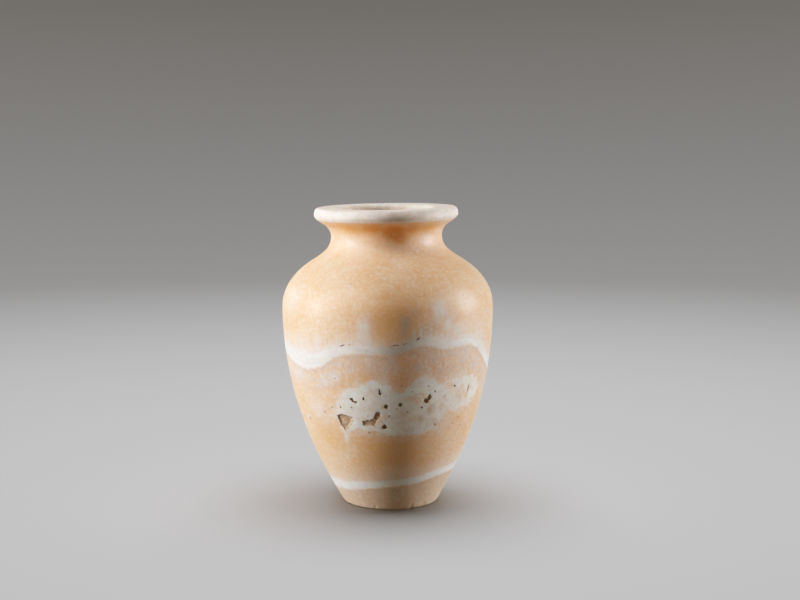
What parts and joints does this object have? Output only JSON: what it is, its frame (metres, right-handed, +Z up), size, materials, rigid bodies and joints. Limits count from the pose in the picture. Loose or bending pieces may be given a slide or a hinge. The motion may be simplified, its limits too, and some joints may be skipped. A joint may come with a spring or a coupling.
{
  "type": "canopic jar",
  "caption": "Hollow jar carved from banded alabaster, with a small flat foot, full shoulder, short waisted neck and wide flat rim, open at the mouth and without a lid.",
  "frame": {"origin": "centre of the flat underside of the foot, on the surface that the jar stands on", "axes": "+Z up, from the foot to the mouth; the jar's own turned axis leans 0.85 degrees from +Z towards -X; -Y is the face with the pitted white patch"},
  "size_m": [0.213, 0.213, 0.301],
  "materials": {
    "alabaster": "ground and softly polished honey alabaster with chalky white bands and small open pits"
  },
  "bodies": {
    "root": {"jar": "alabaster"}
  },
  "joints": []
}
